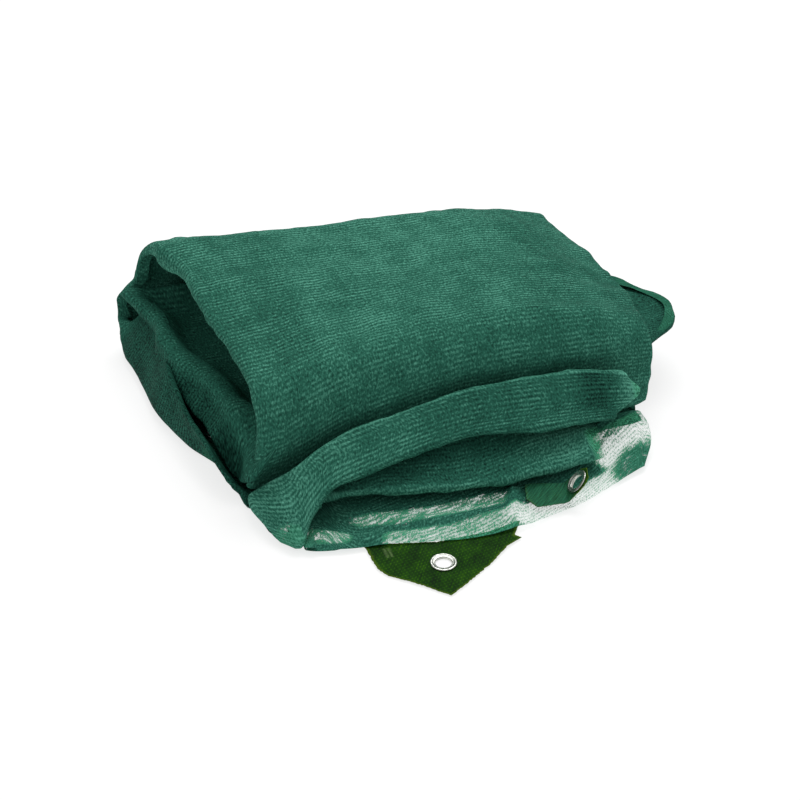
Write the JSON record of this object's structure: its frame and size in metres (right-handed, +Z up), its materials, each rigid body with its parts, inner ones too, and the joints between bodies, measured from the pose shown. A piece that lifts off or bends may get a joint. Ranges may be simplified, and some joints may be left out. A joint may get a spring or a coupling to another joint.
{
  "type": "folded olive harvest net",
  "caption": "Knitted harvest net folded to an uneven layered bundle, one end loose in front, with woven corner patches and metal eyelets.",
  "frame": {"origin": "middle of the bundle's outline on the surface that it lies on", "axes": "+X along the bundle, from its open left end to its right end; +Y from the loose front edge to the back; +Z up"},
  "size_m": [0.4896, 0.438, 0.1196],
  "materials": {
    "knitted_net": "knitted polyethylene monofilament, dense and green, slightly glossy",
    "woven_patch": "woven coated polyethylene tape, olive green",
    "eyelet_metal": "pressed and polished"
  },
  "bodies": {
    "root": {"net": "knitted_net", "corner_patch_front": "woven_patch", "corner_patch_side": "woven_patch", "eyelet_front": "eyelet_metal", "eyelet_side": "eyelet_metal"}
  },
  "joints": []
}
